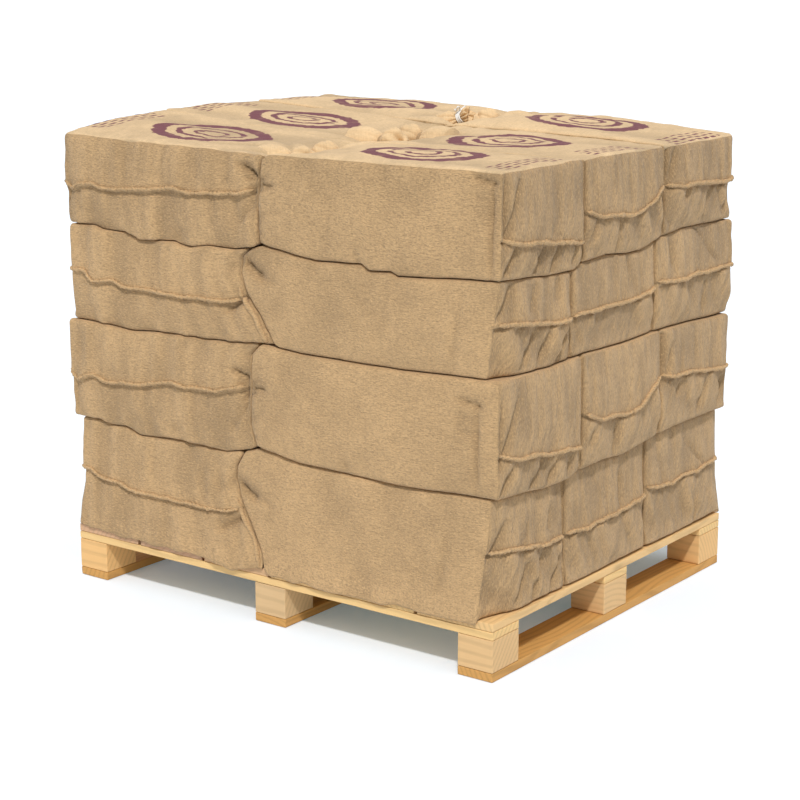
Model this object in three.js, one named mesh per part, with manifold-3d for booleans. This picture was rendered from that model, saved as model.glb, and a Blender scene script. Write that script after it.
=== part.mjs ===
// A block pallet stacked with burlap sacks of firewood, four layers of two by three sacks.
// Millimetres, +Z up. The origin is the centre of the pallet's underside, on the floor.
// +X runs along the wide side of the stack, and -Y is the front.
import * as THREE from "three";
import { mergeVertices } from "three/addons/utils/BufferGeometryUtils.js";
import Module from "manifold-3d";

const wasm = await Module();
wasm.setup();

// Pallet: three runners along Y, nine blocks, three stringers along X and six deck boards along Y.
const PALLET_LENGTH = 1200;
const PALLET_WIDTH = 1000;
const RUNNER_WIDTH = 88;
const RUNNER_THICK = 20;
const BLOCK_DEPTH = 100;
const BLOCK_HEIGHT = 72;
const BOARD_THICK = 18;
const DECK_BOARDS = 6;
const DECK_GAP = 8;
const JOINT_GAP = 0.3;
const STRINGER_Z = RUNNER_THICK + BLOCK_HEIGHT;
const DECK_Z = STRINGER_Z + BOARD_THICK;
const DECK_TOP = DECK_Z + BOARD_THICK;

// Stack: heights where one layer meets the next, from the deck to the top edge.
const LAYER_Z = [DECK_TOP, 386, 630, 842, 1056];
const SACK_GAP = 2.2;
const LAYER_GAP = 5;
const EDGE_RADIUS = 27;
const HALF_X = 600;
const HALF_Y = 487;
// How far each layer's outer faces stand out of the stack's mean faces, at its ends and sides.
const END_OUT = [-18, 2, -6, 5];
const SIDE_OUT = [-2, 3, -4, 5];
const BULGE = 8;
const SEAM_RIDGE = 7;
const SEAM_LEVEL = 0.47;
const SEAM_HALF_WIDTH = 0.06;
// Where the sacks of a layer meet, seen from their stitched side: two cuts across Y, and how far
// the front pair's meeting line stands off the middle, with its slant towards the foot.
const ROW_CUTS = [
  [-140, 210],
  [-170, 172],
  [-135, 218],
  [-162, 180],
];
const MEET_OFFSET = [105, 52, 75, 22];
const MEET_SLANT = [90, 14, 92, 0];
const SLANT_LEVEL = 0.55;

// Top layer: it rises towards the left end and a little way behind its front edge, and again over
// its back row. Each sack has a low crown, and a hollow at its inner end where the necks lie.
const LEFT_RISE = 11;
const LEFT_RISE_BEHIND = 38;
const BEHIND_DEPTH = 200;
const BACK_RISE = 26;
const BACK_RISE_START = 60;
const BACK_RISE_END = 260;
const BACK_RISE_MIDDLE_X = 20;
const BACK_RISE_REACH = 560;
const CROWN = 4;
const TROUGH = 34;
const TROUGH_START = 0.7;

// Necks of the top sacks: radii and heights along the neck's axis, from its root to its tuft.
const NECK_SIDES = 8;
const NECK_PROFILE = [
  [0, -30],
  [36, -30],
  [30, 8],
  [12.5, 28],
  [12.5, 40],
  [20, 56],
  [0, 62],
];
const NECK_INSET = 44;
const NECK_SINK = 20;
const NECK_SIDEWAYS = 70;
const NECK_LEAN = 1.15;
const TIE_HEIGHT = 34;
const TIE_RADIUS = 17;
const TIE_THICKNESS = 3;

const finish = (color) => new THREE.MeshStandardMaterial({ color, roughness: 0.9, metalness: 0 });
const burlap = () => finish(0xc8aa7d);
const runnerWood = () => finish(0xd7a050);
const blockWood = () => finish(0xf5dcaa);
const stringerWood = () => finish(0xf0c882);
const deckWood = () => finish(0xd9ad7a);
const string = () => finish(0xf4f1ea);

const pallet = new THREE.Group();
pallet.name = "pallet";

function board(name, material, size, place) {
  const mesh = new THREE.Mesh(new THREE.BoxGeometry(...size), material);
  mesh.name = name;
  mesh.position.set(place[0], place[1], place[2] + size[2] / 2);
  pallet.add(mesh);
}

const COLUMNS = [
  ["left", -1],
  ["middle", 0],
  ["right", 1],
];
const ROWS = [
  ["front", -1],
  ["middle", 0],
  ["back", 1],
];
const columnX = (PALLET_LENGTH - RUNNER_WIDTH) / 2;
const rowY = (PALLET_WIDTH - BLOCK_DEPTH) / 2;

for (const [column, across] of COLUMNS) {
  const runner = [RUNNER_WIDTH, PALLET_WIDTH, RUNNER_THICK - JOINT_GAP];
  board(`runner_${column}`, runnerWood(), runner, [across * columnX, 0, 0]);
  for (const [row, along] of ROWS) {
    const block = [RUNNER_WIDTH, BLOCK_DEPTH, BLOCK_HEIGHT - JOINT_GAP];
    board(`block_${column}_${row}`, blockWood(), block, [across * columnX, along * rowY, RUNNER_THICK]);
  }
}
for (const [row, along] of ROWS) {
  const stringer = [PALLET_LENGTH, BLOCK_DEPTH, BOARD_THICK - JOINT_GAP];
  board(`stringer_${row}`, stringerWood(), stringer, [0, along * rowY, STRINGER_Z]);
}
const deckWidth = (PALLET_LENGTH - (DECK_BOARDS - 1) * DECK_GAP) / DECK_BOARDS;
for (let i = 0; i < DECK_BOARDS; i++) {
  const x = -PALLET_LENGTH / 2 + deckWidth / 2 + i * (deckWidth + DECK_GAP);
  const deck = [deckWidth, PALLET_WIDTH, BOARD_THICK];
  board(`deck_board_${i + 1}`, deckWood(), deck, [x, 0, DECK_Z]);
}

const clamp01 = (t) => Math.min(1, Math.max(0, t));
const mix = (a, b, t) => a + (b - a) * t;

// The wavy surface between two layers, in the stack's own X and Y. It lifts where the necks meet
// and towards the left end, as the sacks' corners do.
function layerSurface(level, x, y) {
  if (level === 0) {
    return DECK_TOP;
  }
  const wave = 3 * Math.sin(x / 110 + 1.9 * level) + 2 * Math.sin(y / 80 + 2.3 * level);
  const meeting = 9 * Math.exp(-((x / 110) ** 2));
  const end = 7 * clamp01((-x - 400) / 200) ** 2;
  return LAYER_Z[level] + wave + meeting + end;
}

// The general level of the top of the stack.
function topLevel(x, y) {
  const left = clamp01(-x / HALF_X) ** 1.5;
  const behind = 1 - Math.exp(-Math.max(0, y + HALF_Y) / BEHIND_DEPTH);
  const back = THREE.MathUtils.smoothstep(y, BACK_RISE_START, BACK_RISE_END);
  const across = 1 - ((x - BACK_RISE_MIDDLE_X) / BACK_RISE_REACH) ** 2;
  return LAYER_Z[4] + (LEFT_RISE + LEFT_RISE_BEHIND * behind) * left + BACK_RISE * back * across;
}

// The top of a sack: u runs along it from its closed end to its neck, v across it.
function crownSurface(x, y, u, v) {
  const hollow = clamp01((u - TROUGH_START) / (1 - TROUGH_START)) ** 2 * (1 - v ** 4);
  return topLevel(x, y) + CROWN * (1 - u ** 4) * (1 - v ** 4) - TROUGH * hollow;
}

// Where the neck ends of a facing pair meet, at a height t of the layer from 0 to 1.
function meetingX(layer, row, t) {
  const slant = MEET_SLANT[layer] * clamp01(1 - t / SLANT_LEVEL) ** 2;
  return (slant - MEET_OFFSET[layer]) * (1 - row);
}

// Lines of a grid from -half to half, with one line a radius in from each end.
function gridLines(half, inner) {
  const flat = half - EDGE_RADIUS;
  const lines = [-half];
  for (let i = 0; i <= inner + 1; i++) {
    lines.push(mix(-flat, flat, i / (inner + 1)));
  }
  lines.push(half);
  return lines;
}

// One filled sack: a box with rounded edges, drawn in the frame of the left half of the stack,
// with its closed end at -X, its stitched side at -Y and its neck at +X.
// turn is 1 for that half and -1 for the right half, which is the left one turned by half a turn.
function sackGeometry(layer, row, turn) {
  const top = layer === 3;
  const outerX = -(HALF_X + END_OUT[layer]);
  const outerY = HALF_Y + SIDE_OUT[layer];
  const innerX = meetingX(layer, row, 1) - SACK_GAP;
  const edges = [-outerY, ...ROW_CUTS[layer], outerY];
  const lowY = edges[row] + (row === 0 ? 0 : SACK_GAP);
  const highY = edges[row + 1] - (row === 2 ? 0 : SACK_GAP);
  const half = new THREE.Vector3(
    (innerX - outerX) / 2,
    (highY - lowY) / 2,
    (LAYER_Z[layer + 1] - LAYER_Z[layer]) / 2,
  );
  const middle = new THREE.Vector3((innerX + outerX) / 2, (highY + lowY) / 2, 0);
  const seamZ = (2 * SEAM_LEVEL - 1) * half.z;
  const seamStep = 2 * SEAM_HALF_WIDTH * half.z;
  const flatZ = half.z - EDGE_RADIUS;
  const lines = [
    gridLines(half.x, top ? 5 : 2),
    gridLines(half.y, 2),
    [-half.z, -flatZ, seamZ - seamStep, seamZ, seamZ + seamStep, flatZ, half.z],
  ];
  const steps = lines.map((line) => line.length - 1);
  const box = new THREE.BoxGeometry(2, 2, 2, ...steps);
  box.deleteAttribute("normal");
  box.deleteAttribute("uv");
  const geometry = mergeVertices(box, 1e-4);
  const place = geometry.getAttribute("position");
  const p = new THREE.Vector3();
  const core = new THREE.Vector3();
  const low = half.clone().negate().addScalar(EDGE_RADIUS);
  const high = half.clone().subScalar(EDGE_RADIUS);
  for (let n = 0; n < place.count; n++) {
    const index = [place.getX(n), place.getY(n), place.getZ(n)].map((c, axis) =>
      Math.round(((c + 1) / 2) * steps[axis]),
    );
    p.set(lines[0][index[0]], lines[1][index[1]], lines[2][index[2]]);
    const u = p.x / half.x;
    const v = p.y / half.y;
    core.copy(p).clamp(low, high);
    p.sub(core).setLength(EDGE_RADIUS).add(core);
    const t = (p.z + half.z) / (2 * half.z);
    // The neck end follows the slanted meeting line.
    const along = (p.x + half.x) / (2 * half.x);
    let x = mix(outerX, meetingX(layer, row, t) - SACK_GAP, along);
    let y = middle.y + p.y;
    // Faces on the outside of the stack bulge, and the stitched ones carry the seam's ridge.
    const swell = BULGE * (1 - (2 * t - 1) ** 2);
    const ridge = index[2] === 3 ? SEAM_RIDGE : 0;
    if (index[0] === 0) {
      x -= (swell + ridge) * (1 - v ** 6);
    }
    if (index[1] === 0 && row === 0) {
      y -= (swell + ridge) * (1 - u ** 6);
    }
    if (index[1] === steps[1] && row === 2) {
      y += swell * (1 - u ** 6);
    }
    const floor = layerSurface(layer, turn * x, turn * y) + LAYER_GAP / 2;
    const roof = top
      ? crownSurface(turn * x, turn * y, u, v)
      : layerSurface(layer + 1, turn * x, turn * y) - LAYER_GAP / 2;
    place.setXYZ(n, turn * x, turn * y, mix(floor, roof, t));
  }
  return geometry;
}

// A neck leans over from its sack's inner end, to one side of the facing sack's neck.
function neckPlace(row, turn) {
  const edges = [-HALF_Y, ...ROW_CUTS[3], HALF_Y];
  const x = meetingX(3, row, 1) - NECK_INSET;
  const y = (edges[row] + edges[row + 1]) / 2 - NECK_SIDEWAYS;
  const place = new THREE.Object3D();
  place.rotation.set(0, 0, turn === 1 ? 0 : Math.PI);
  const lean = new THREE.Object3D();
  lean.position.set(x, y, topLevel(turn * x, turn * y) - NECK_SINK);
  lean.rotation.set(0, NECK_LEAN, 0);
  place.add(lean);
  place.updateMatrixWorld(true);
  return lean.matrixWorld;
}

// Turning about X by a right angle stands a lathe's or a ring's axis along +Z.
function neckGeometry(row, turn) {
  const profile = NECK_PROFILE.map(([r, h]) => new THREE.Vector2(r, h));
  const lathe = new THREE.LatheGeometry(profile, NECK_SIDES);
  lathe.rotateX(Math.PI / 2);
  return lathe.applyMatrix4(neckPlace(row, turn));
}

function tieGeometry(row, turn) {
  const ring = new THREE.TorusGeometry(TIE_RADIUS, TIE_THICKNESS, 4, NECK_SIDES);
  ring.translate(0, 0, TIE_HEIGHT);
  return ring.applyMatrix4(neckPlace(row, turn));
}

function solidOf(geometry) {
  const bare = geometry.clone();
  bare.deleteAttribute("normal");
  bare.deleteAttribute("uv");
  const merged = mergeVertices(bare, 1e-3);
  const mesh = new wasm.Mesh({
    numProp: 3,
    vertProperties: merged.getAttribute("position").array,
    triVerts: new Uint32Array(merged.index.array),
  });
  return new wasm.Manifold(mesh);
}

function joined(first, second) {
  const { vertProperties, triVerts } = solidOf(first).add(solidOf(second)).getMesh();
  const geometry = new THREE.BufferGeometry();
  geometry.setAttribute("position", new THREE.BufferAttribute(vertProperties, 3));
  geometry.setIndex(new THREE.BufferAttribute(triVerts, 1));
  return geometry;
}

const stack = new THREE.Group();
stack.name = "stack";
const SIDES = [
  ["left", 1],
  ["right", -1],
];
const LAYER_NAMES = ["layer1", "layer2", "layer3", "layer4"];
for (const [side, turn] of SIDES) {
  LAYER_NAMES.forEach((layerName, layer) => {
    for (let row = 0; row < 3; row++) {
      // Rows are counted in the sack's own frame, so the right half's run from back to front.
      const rowName = ROWS[turn === 1 ? row : 2 - row][0];
      const top = layer === 3;
      const body = sackGeometry(layer, row, turn);
      const sack = new THREE.Mesh(top ? joined(body, neckGeometry(row, turn)) : body, burlap());
      sack.name = `sack_${layerName}_${side}_${rowName}`;
      sack.geometry.computeVertexNormals();
      stack.add(sack);
      if (top) {
        const tie = new THREE.Mesh(tieGeometry(row, turn), string());
        tie.name = `neck_tie_${side}_${rowName}`;
        stack.add(tie);
      }
    }
  });
}

const firewoodPallet = new THREE.Group();
firewoodPallet.add(pallet, stack);
export default firewoodPallet;
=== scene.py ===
"""A pallet of firewood: a block pallet that carries four layers of filled burlap sacks.

Metres, +Z up, with +X along the wide side of the stack and -Y at its front.
Every sack is drawn in the frame of the left half of the stack: its closed, stitched end is at -X,
its stitched long side at -Y, its folded long side at +Y and its neck at +X.
The right half of the stack is the left one turned by half a turn.
"""

import itertools
import math

import bpy
import numpy as np
from bpy.props import FloatProperty, FloatVectorProperty, PointerProperty
from mathutils import Matrix, Vector


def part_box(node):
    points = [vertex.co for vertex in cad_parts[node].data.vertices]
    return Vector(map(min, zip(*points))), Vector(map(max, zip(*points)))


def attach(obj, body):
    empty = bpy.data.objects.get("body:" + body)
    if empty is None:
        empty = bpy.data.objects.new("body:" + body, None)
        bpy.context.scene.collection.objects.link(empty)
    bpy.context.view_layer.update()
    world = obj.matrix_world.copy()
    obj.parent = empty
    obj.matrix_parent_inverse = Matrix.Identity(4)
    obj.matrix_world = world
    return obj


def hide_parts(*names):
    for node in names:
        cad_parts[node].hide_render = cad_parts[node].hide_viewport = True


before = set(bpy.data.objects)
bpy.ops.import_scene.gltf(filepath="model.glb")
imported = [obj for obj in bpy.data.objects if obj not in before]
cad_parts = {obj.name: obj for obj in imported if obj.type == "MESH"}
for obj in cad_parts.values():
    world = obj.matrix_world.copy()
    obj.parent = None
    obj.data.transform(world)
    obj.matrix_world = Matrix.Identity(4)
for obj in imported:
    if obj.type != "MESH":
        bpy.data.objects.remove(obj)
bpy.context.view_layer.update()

bl_info = {
    "name": "Firewood Pallet",
    "version": (1, 0, 0),
    "blender": (4, 5, 0),
    "location": "3D View > Sidebar > Firewood",
    "description": "Builds a block pallet stacked with burlap sacks of firewood",
    "category": "Add Mesh",
}

TAU = 2 * math.pi
SEED = 11
# What a mesh carries: the cloth's map, the relief in hundredths of a metre, and a number that sets
# one piece apart from the next.
CLOTH_UV = "cloth"
RELIEF = "relief"
RELIEF_UNIT = 0.01
PIECE = "piece"

# The stack, close to its solids: layer heights, how far each layer's faces stand out, and the
# cuts between neighbours.
LAYER_Z = (0.128, 0.386, 0.630, 0.842, 1.056)
HALF_X = 0.600
HALF_Y = 0.487
END_OUT = (-0.014, 0.005, 0.0, 0.004)
SIDE_OUT = (0.001, 0.007, 0.005, 0.005)
ROW_CUTS = ((-0.140, 0.210), (-0.170, 0.172), (-0.135, 0.218), (-0.162, 0.180))
ROW_NAMES = ("front", "middle", "back")
TOP = 3
HALF_SLIT = 0.0012
NECK_GAP = 0.001
BULGE = 0.007
# How far the closed end of a tucked layer's back sack draws in towards its foot.
FOOT_IN = 0.026
# How far each layer's stitched corner sack is drawn out at its corner, on the left and the right.
CORNER_OUT = ((0.0, 0.0), (0.006, 0.005), (0.006, 0.008), (0.007, -0.005))
CORNER_REACH = 0.04
# How the sacks of each layer lie: their neck end puffed out, or tucked in under a hem.
PUFFED = "puffed"
TUCKED = "tucked"
KINDS = (TUCKED, PUFFED, TUCKED, PUFFED)

# Where facing necks meet in the front row: height in the layer from 0 to 1, and distance in X.
MEETING_LINES = (
    ((0.0, -0.012), (0.05, -0.016), (0.56, -0.090), (0.73, -0.107), (0.86, -0.103), (1.0, -0.078)),
    ((0.0, -0.040), (0.22, -0.056), (0.60, -0.054), (0.90, -0.049), (1.0, -0.020)),
    ((0.0, 0.018), (0.29, -0.027), (0.51, -0.062), (0.73, -0.078), (0.92, -0.075), (1.0, -0.049)),
    ((0.0, -0.024), (0.22, -0.027), (0.48, -0.026), (0.75, -0.021), (0.93, -0.014), (1.0, 0.006)),
)

# Rise of the lines between layers over LAYER_Z, seen from outside and drawn from left to right.
FRONT_LINES = (
    ((-0.594, 0.006), (-0.565, 0), (-0.529, 0.007), (-0.504, 0), (-0.378, 0), (-0.242, 0.003),
     (-0.19, 0), (-0.083, 0), (-0.014, 0.015), (0.008, 0.002), (0.6, 0)),
    ((-0.6, 0.010), (-0.526, 0.008), (-0.496, -0.003), (-0.441, 0.004), (-0.397, -0.011),
     (-0.29, -0.003), (-0.186, -0.006), (-0.131, -0.008), (-0.085, 0.002), (-0.035, 0.014),
     (0.013, 0.010), (0.086, -0.001), (0.357, -0.006), (0.602, 0.005)),
    ((-0.606, -0.004), (-0.411, -0.007), (-0.3, 0.001), (-0.183, 0), (-0.092, 0.004),
     (-0.021, 0.011), (0.018, 0.006), (0.09, 0), (0.357, 0), (0.598, 0.007)),
    ((-0.6, 0.016), (-0.525, 0.017), (-0.498, 0.005), (-0.425, 0.008), (-0.377, -0.005),
     (-0.273, 0), (-0.263, -0.004), (-0.239, -0.008), (-0.172, -0.001), (-0.096, -0.002),
     (-0.017, 0.013), (0.031, 0.008), (0.135, -0.006), (0.257, -0.001), (0.273, -0.013),
     (0.333, -0.010), (0.347, -0.018), (0.592, -0.004)),
)
RIGHT_LINES = (
    ((-0.5, 0), (-0.3, 0.003), (-0.17, 0), (0.1, 0.003), (0.3, 0), (0.5, 0.002)),
    ((-0.5, 0.004), (-0.44, -0.005), (-0.31, -0.012), (-0.21, -0.012), (-0.18, -0.003),
     (-0.08, 0), (0.01, -0.007), (0.15, 0.006), (0.25, 0.012), (0.48, 0.010)),
    ((-0.5, 0.008), (-0.3, 0.004), (-0.16, 0.009), (0.0, 0.005), (0.127, 0.009), (0.505, 0.004)),
    ((-0.515, 0), (-0.437, -0.009), (-0.308, -0.016), (-0.21, -0.017), (-0.183, -0.006),
     (-0.079, 0), (0.007, -0.009), (0.068, -0.009), (0.147, 0.008), (0.253, 0.018),
     (0.345, 0.017), (0.479, 0.014)),
)

# Height of the long side's seam at places in X, over the foot of the layer.
SIDE_SEAMS = (
    ((-0.589, 0.141), (-0.558, 0.142), (-0.533, 0.124), (-0.477, 0.124), (-0.438, 0.112),
     (-0.315, 0.110), (-0.195, 0.109), (-0.116, 0.118), (-0.084, 0.131)),
    ((-0.61, 0.119), (-0.577, 0.095), (-0.551, 0.114), (-0.525, 0.117), (-0.481, 0.104),
     (-0.372, 0.114), (-0.271, 0.133), (-0.229, 0.126), (-0.141, 0.131), (-0.037, 0.156)),
    ((-0.601, 0.116), (-0.553, 0.119), (-0.519, 0.097), (-0.464, 0.105), (-0.43, 0.092),
     (-0.344, 0.092), (-0.217, 0.090), (-0.135, 0.092), (-0.09, 0.099), (-0.063, 0.112)),
    ((-0.612, 0.113), (-0.583, 0.093), (-0.552, 0.107), (-0.508, 0.110), (-0.464, 0.101),
     (-0.391, 0.105), (-0.315, 0.112), (-0.241, 0.119), (-0.209, 0.113), (-0.062, 0.121),
     (-0.022, 0.133)),
)
# Height of the end seam as a share of the layer, from left to right as seen from outside.
END_SEAMS = {
    PUFFED: (
        (0.56, 0.51, 0.51, 0.48, 0.46, 0.45),
        (0.49, 0.40, 0.39, 0.37, 0.39, 0.49, 0.58),
        (0.37, 0.31, 0.31, 0.285, 0.27, 0.21),
    ),
    TUCKED: (
        (0.54, 0.50, 0.47, 0.50, 0.49, 0.51, 0.50),
        (0.47, 0.44, 0.46, 0.47, 0.49),
        (0.54, 0.54, 0.50, 0.47, 0.47),
    ),
}

# How far the rounding of a sack's edges reaches, low on it and high on it: at the closed end, along
# the long sides that show, and along those that meet a neighbour.
END_EDGE = (0.007, 0.008)
TOP_END_EDGE = (0.007, 0.009)
SIDE_EDGE = (0.006, 0.009)
LOWEST_SIDE_EDGE = 0.004
INNER_EDGE = (0.009, 0.011)
TOP_INNER_EDGE = (0.009, 0.008)
# The same at the neck end, from the stitched side to the folded one, high up and at a puffed foot,
# how much more there is at a tucked foot, and what share is left at the foot of the lowest layer.
NECK_EDGE = (0.016, 0.010)
PUFFED_FOOT_EDGE = (0.024, 0.046)
TUCKED_FOOT_MORE = 0.008
LOWEST_FOOT_SHARE = 0.4
# The same up and down: at the foot and the head, and over the top's outer edges and inner ones.
FOOT_EDGE = 0.008
LOWEST_FOOT_EDGE = 0.005
HEAD_EDGE = 0.010
CROWN_OUTER_EDGE = 0.014
CROWN_INNER_EDGE = 0.008

# The seam: the swelling above it, the narrow recess and the wider slope below it, the rope of its
# stitched edge, with how far it lies above the seam and out from the cloth, how much it wanders and
# swells, the bite and the pitch of the thread round it, and the hem's half width.
SEAM_SWELL = 0.003
SWELL_REACH = 0.022
SEAM_RECESS = 0.008
RECESS_REACH = 0.005
END_SLOPE = 0.0010
SIDE_SLOPE = 0.0012
SLOPE_REACH = 0.020
END_ROPE_RADIUS = 0.0044
SIDE_ROPE_RADIUS = 0.0038
ROPE_SIDES = 7
ROPE_RAISE = 0.002
ROPE_OUT = 0.0018
ROPE_WANDER = 0.0016
ROPE_LUMPS = 0.3
THREAD_BITE = 0.26
THREAD_PITCH = 0.0105
HEM_WIDTH = 0.0062
HEM_SIDES = 9
# The unevenness of the cloth, by its height and its size: rumples all over, slanted gathers on the
# ends with their heights above and below the seam, ribs on the stitched side, bands on the folded
# one, and lumps on the crown.
RUMPLES = ((0.0020, 0.052), (0.0009, 0.019))
GATHERS = ((0.0030, 0.0048, 0.017), (0.0040, 0.0066, 0.040))
RIBS = ((0.0048, 0.050), (0.0034, 0.022))
BANDS = (0.0022, 0.085)
LUMPS = (0.0045, 0.085)
# Spacing of a sack's mesh along, across and up it: at the marks, away from them, and how far away
# it stops growing. Along a sack whose neck end is hidden the mesh may be wider.
MESH_ALONG = (0.0035, 0.009, 0.10)
MESH_ALONG_HIDDEN = (0.0035, 0.032, 0.10)
MESH_ACROSS = (0.0038, 0.0075, 0.05)
MESH_UP = (0.0036, 0.0062, 0.04)
# The groove where two ends meet, and how the folds drawn for the ends are deepened and narrowed.
GROOVE_DEPTH = 0.014
GROOVE_REACH = 0.0045
END_FOLD_DEPTH = 1.7
END_FOLD_WIDTH = 0.8

# Folds, each a valley from one point to another: the points, the depth, and how far the cloth
# takes to level out on either side. Long sides are drawn by the distance from the neck end and
# the height in the layer, the stitched side towards the left and the other towards the right.
SIDE_FOLDS = {
    PUFFED: (
        ((-0.004, 0.154), (0.052, 0.186), 0.022, 0.009, 0.004),
        ((-0.002, 0.148), (0.040, 0.156), 0.012, 0.005, 0.003),
        ((-0.002, 0.140), (0.018, 0.113), 0.014, 0.008, 0.006),
        ((0.000, 0.136), (0.030, 0.132), 0.008, 0.005, 0.003),
        ((0.006, 0.108), (0.060, 0.045), 0.009, 0.018, 0.009),
        ((0.541, 0.000), (0.541, 0.092), 0.004, 0.010, 0.006),
        ((0.572, 0.088), (0.590, 0.030), 0.007, 0.009, 0.005),
        ((0.370, 0.000), (0.352, 0.060), 0.003, 0.018, 0.012),
        ((0.240, 0.010), (0.222, 0.040), 0.006, 0.012, 0.006),
    ),
    TUCKED: (
        ((-0.020, 0.102), (0.042, 0.068), 0.018, 0.015, 0.006),
        ((0.000, 0.180), (0.050, 0.165), 0.006, 0.014, 0.012),
        ((0.300, 0.190), (0.340, 0.110), 0.002, 0.020, 0.014),
    ),
}
SMOOTH_FOLDS = {
    PUFFED: (
        ((-0.004, 0.140), (0.046, 0.138), 0.016, 0.006, 0.004),
        ((-0.004, 0.128), (0.030, 0.132), 0.009, 0.004, 0.006),
        ((-0.002, 0.150), (0.034, 0.158), 0.008, 0.008, 0.004),
        ((0.000, 0.060), (0.045, 0.090), 0.003, 0.014, 0.012),
        ((0.560, 0.166), (0.606, 0.154), 0.004, 0.012, 0.010),
        ((0.562, 0.134), (0.612, 0.124), 0.004, 0.011, 0.009),
        ((0.560, 0.200), (0.616, 0.186), 0.012, 0.007, 0.005),
        ((0.602, 0.010), (0.604, 0.186), 0.010, 0.005, 0.005),
        ((0.275, 0.000), (0.262, 0.028), 0.005, 0.010, 0.005),
    ),
    TUCKED: (
        ((0.004, 0.184), (0.064, 0.138), 0.018, 0.015, 0.005),
        ((0.050, 0.150), (0.110, 0.136), 0.005, 0.010, 0.005),
        ((0.588, 0.190), (0.560, 0.020), 0.005, 0.010, 0.005),
        ((0.000, 0.215), (0.035, 0.150), 0.004, 0.012, 0.016),
    ),
}
# Folds of the stitched end, by the distance from its left edge seen from outside and the height.
END_FOLDS = {
    PUFFED: (
        (
            ((0.100, 0.104), (0.071, 0.070), 0.008, 0.010, 0.005),
            ((0.209, 0.096), (0.178, 0.016), 0.008, 0.012, 0.005),
            ((0.306, 0.082), (0.283, 0.022), 0.009, 0.012, 0.006),
            ((0.008, 0.240), (0.009, 0.110), 0.016, 0.012, 0.005),
            ((0.046, 0.206), (0.022, 0.130), 0.009, 0.008, 0.004),
        ),
        (
            ((0.046, 0.084), (0.030, 0.045), 0.007, 0.012, 0.005),
            ((0.146, 0.082), (0.136, 0.000), 0.009, 0.014, 0.005),
            ((0.250, 0.088), (0.262, 0.030), 0.004, 0.016, 0.010),
        ),
        (
            ((0.066, 0.200), (0.008, 0.066), 0.009, 0.014, 0.006),
            ((0.012, 0.196), (0.010, 0.062), 0.009, 0.004, 0.003),
            ((0.054, 0.066), (0.012, 0.004), 0.010, 0.012, 0.006),
            ((0.168, 0.062), (0.120, 0.000), 0.009, 0.013, 0.005),
            ((0.224, 0.062), (0.186, 0.000), 0.009, 0.013, 0.005),
            ((0.286, 0.052), (0.268, 0.010), 0.007, 0.009, 0.005),
        ),
    ),
    TUCKED: (
        (
            ((0.180, 0.219), (0.292, 0.122), 0.005, 0.006, 0.004),
            ((0.240, 0.090), (0.232, 0.010), 0.007, 0.012, 0.005),
            ((0.060, 0.200), (0.085, 0.120), 0.005, 0.014, 0.008),
        ),
        (
            ((0.228, 0.215), (0.236, 0.125), 0.007, 0.012, 0.006),
            ((0.110, 0.088), (0.090, 0.020), 0.004, 0.016, 0.010),
        ),
        (
            ((0.052, 0.208), (0.004, 0.125), 0.008, 0.012, 0.006),
            ((0.135, 0.200), (0.110, 0.130), 0.005, 0.016, 0.009),
            ((0.222, 0.205), (0.205, 0.150), 0.006, 0.012, 0.006),
            ((0.134, 0.092), (0.082, 0.010), 0.010, 0.013, 0.005),
            ((0.190, 0.092), (0.146, 0.004), 0.010, 0.013, 0.005),
            ((0.273, 0.090), (0.216, 0.004), 0.010, 0.013, 0.005),
        ),
    ),
}

# How the lowest layer sags outwards at its foot, and hangs over the deck's long edges: the hang at
# places along X at the front, and along -X at the back.
DECK_EDGE_Y = 0.500
SIDE_SAG = 0.020
END_SAG = 0.011
SAG_DEPTH = 0.020
HANG = ((-0.6, 0.005), (-0.54, 0.006), (-0.47, 0.010), (-0.38, 0.009), (-0.3, 0.012),
        (-0.2, 0.010), (-0.1, 0.016), (-0.03, 0.016), (0.1, 0.014), (0.3, 0.016), (0.6, 0.014))

# The boards and blocks whose wood is warmer or paler than the rest, from 0 to 1.
USUAL_WARMTH = 0.3
WARMTH = {
    "block_left_front": 0.9,
    "block_left_middle": 0.6,
    "block_middle_front": 0.0,
    "block_right_back": 0.7,
    "deck_board_1": 0.9,
    "deck_board_2": 1.0,
    "deck_board_3": 0.7,
    "deck_board_4": 0.1,
    "deck_board_5": 0.0,
    "deck_board_6": 0.2,
}

# The top, as its solids have it: its rise to the left and behind its front edge, its rise over the
# back row, and each sack's crown and the hollow at its inner end.
LEFT_RISE = 0.011
LEFT_RISE_BEHIND = 0.038
BEHIND_DEPTH = 0.200
BACK_RISE = 0.026
BACK_RISE_START = 0.060
BACK_RISE_END = 0.260
BACK_RISE_MIDDLE_X = 0.020
BACK_RISE_REACH = 0.560
CROWN = 0.004
TROUGH = 0.034
TROUGH_START = 0.7

# Necks of the top layer: radii and heights along a leaning axis.
NECK_PROFILE = ((0.036, -0.030), (0.031, 0.004), (0.022, 0.018), (0.0125, 0.028), (0.012, 0.034),
                (0.0125, 0.040), (0.017, 0.048), (0.021, 0.058), (0.018, 0.063), (0.008, 0.056),
                (0.0, 0.050))
ROLL_PROFILE = ((0.044, -0.050), (0.044, -0.020), (0.038, 0.006), (0.027, 0.024), (0.0150, 0.031),
                (0.0145, 0.034), (0.0150, 0.037), (0.026, 0.043), (0.034, 0.056), (0.035, 0.072),
                (0.028, 0.084), (0.012, 0.089), (0.0, 0.088))
NECK_INSET = 0.044
NECK_SINK = 0.020
NECK_SIDEWAYS = 0.070
NECK_LEAN = 1.15
NECK_TIE_HEIGHT = 0.034
NECK_RINGS = 48
NECK_SIDES = 84
HALF_PLEATS = 5.5
PLEAT_DEPTH = 0.017
PLEAT_REACH = 0.10
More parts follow.
